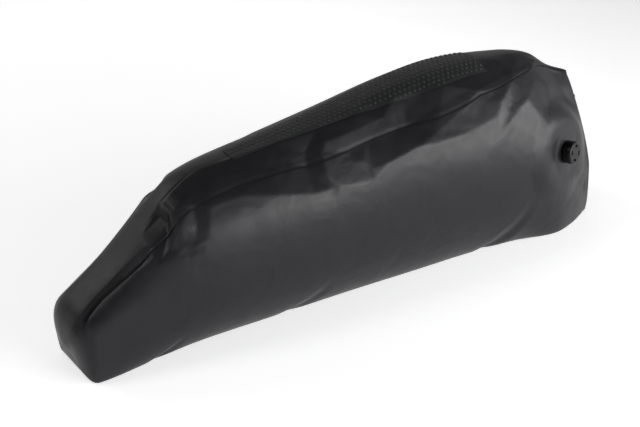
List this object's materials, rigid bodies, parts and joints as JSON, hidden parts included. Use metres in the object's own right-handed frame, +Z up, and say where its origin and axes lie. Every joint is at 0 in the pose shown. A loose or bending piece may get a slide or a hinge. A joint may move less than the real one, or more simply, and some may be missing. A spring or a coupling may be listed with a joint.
{
  "type": "bikepacking saddle bag",
  "caption": "Filled black waterproof saddle bag for bikepacking: a narrow nose, a welded top panel with a dotted grip strip, an air valve on one side and a rolled mouth.",
  "frame": {"origin": "middle of the bag's footprint box, on the surface that it stands on", "axes": "+X from the narrow nose to the wide mouth end, -Y the side with the air valve, +Z up"},
  "size_m": [0.5582, 0.1318, 0.1873],
  "materials": {
    "coated_cloth": "satin black coated cloth",
    "top_cloth": "satin black coated cloth",
    "grip_rubber": "matt, printed with small raised dots",
    "rolled_cloth": "satin black coated cloth, rolled",
    "valve_plastic": "moulded",
    "cap_plastic": "moulded, slightly glossy"
  },
  "bodies": {
    "bag": {"body_panel": "coated_cloth", "top_panel": "top_cloth", "grip_strip": "grip_rubber", "mouth_roll": "rolled_cloth", "valve_base": "valve_plastic"},
    "cap": {"valve_cap": "cap_plastic"}
  },
  "joints": [
    {"name": "valve_turn", "type": "hinge", "parent": "bag", "child": "cap", "pos_m": [0.21777, -0.05312, 0.08842], "axis": [0.37, -0.9158, 0.1564], "range_deg": [0, 90]}
  ]
}
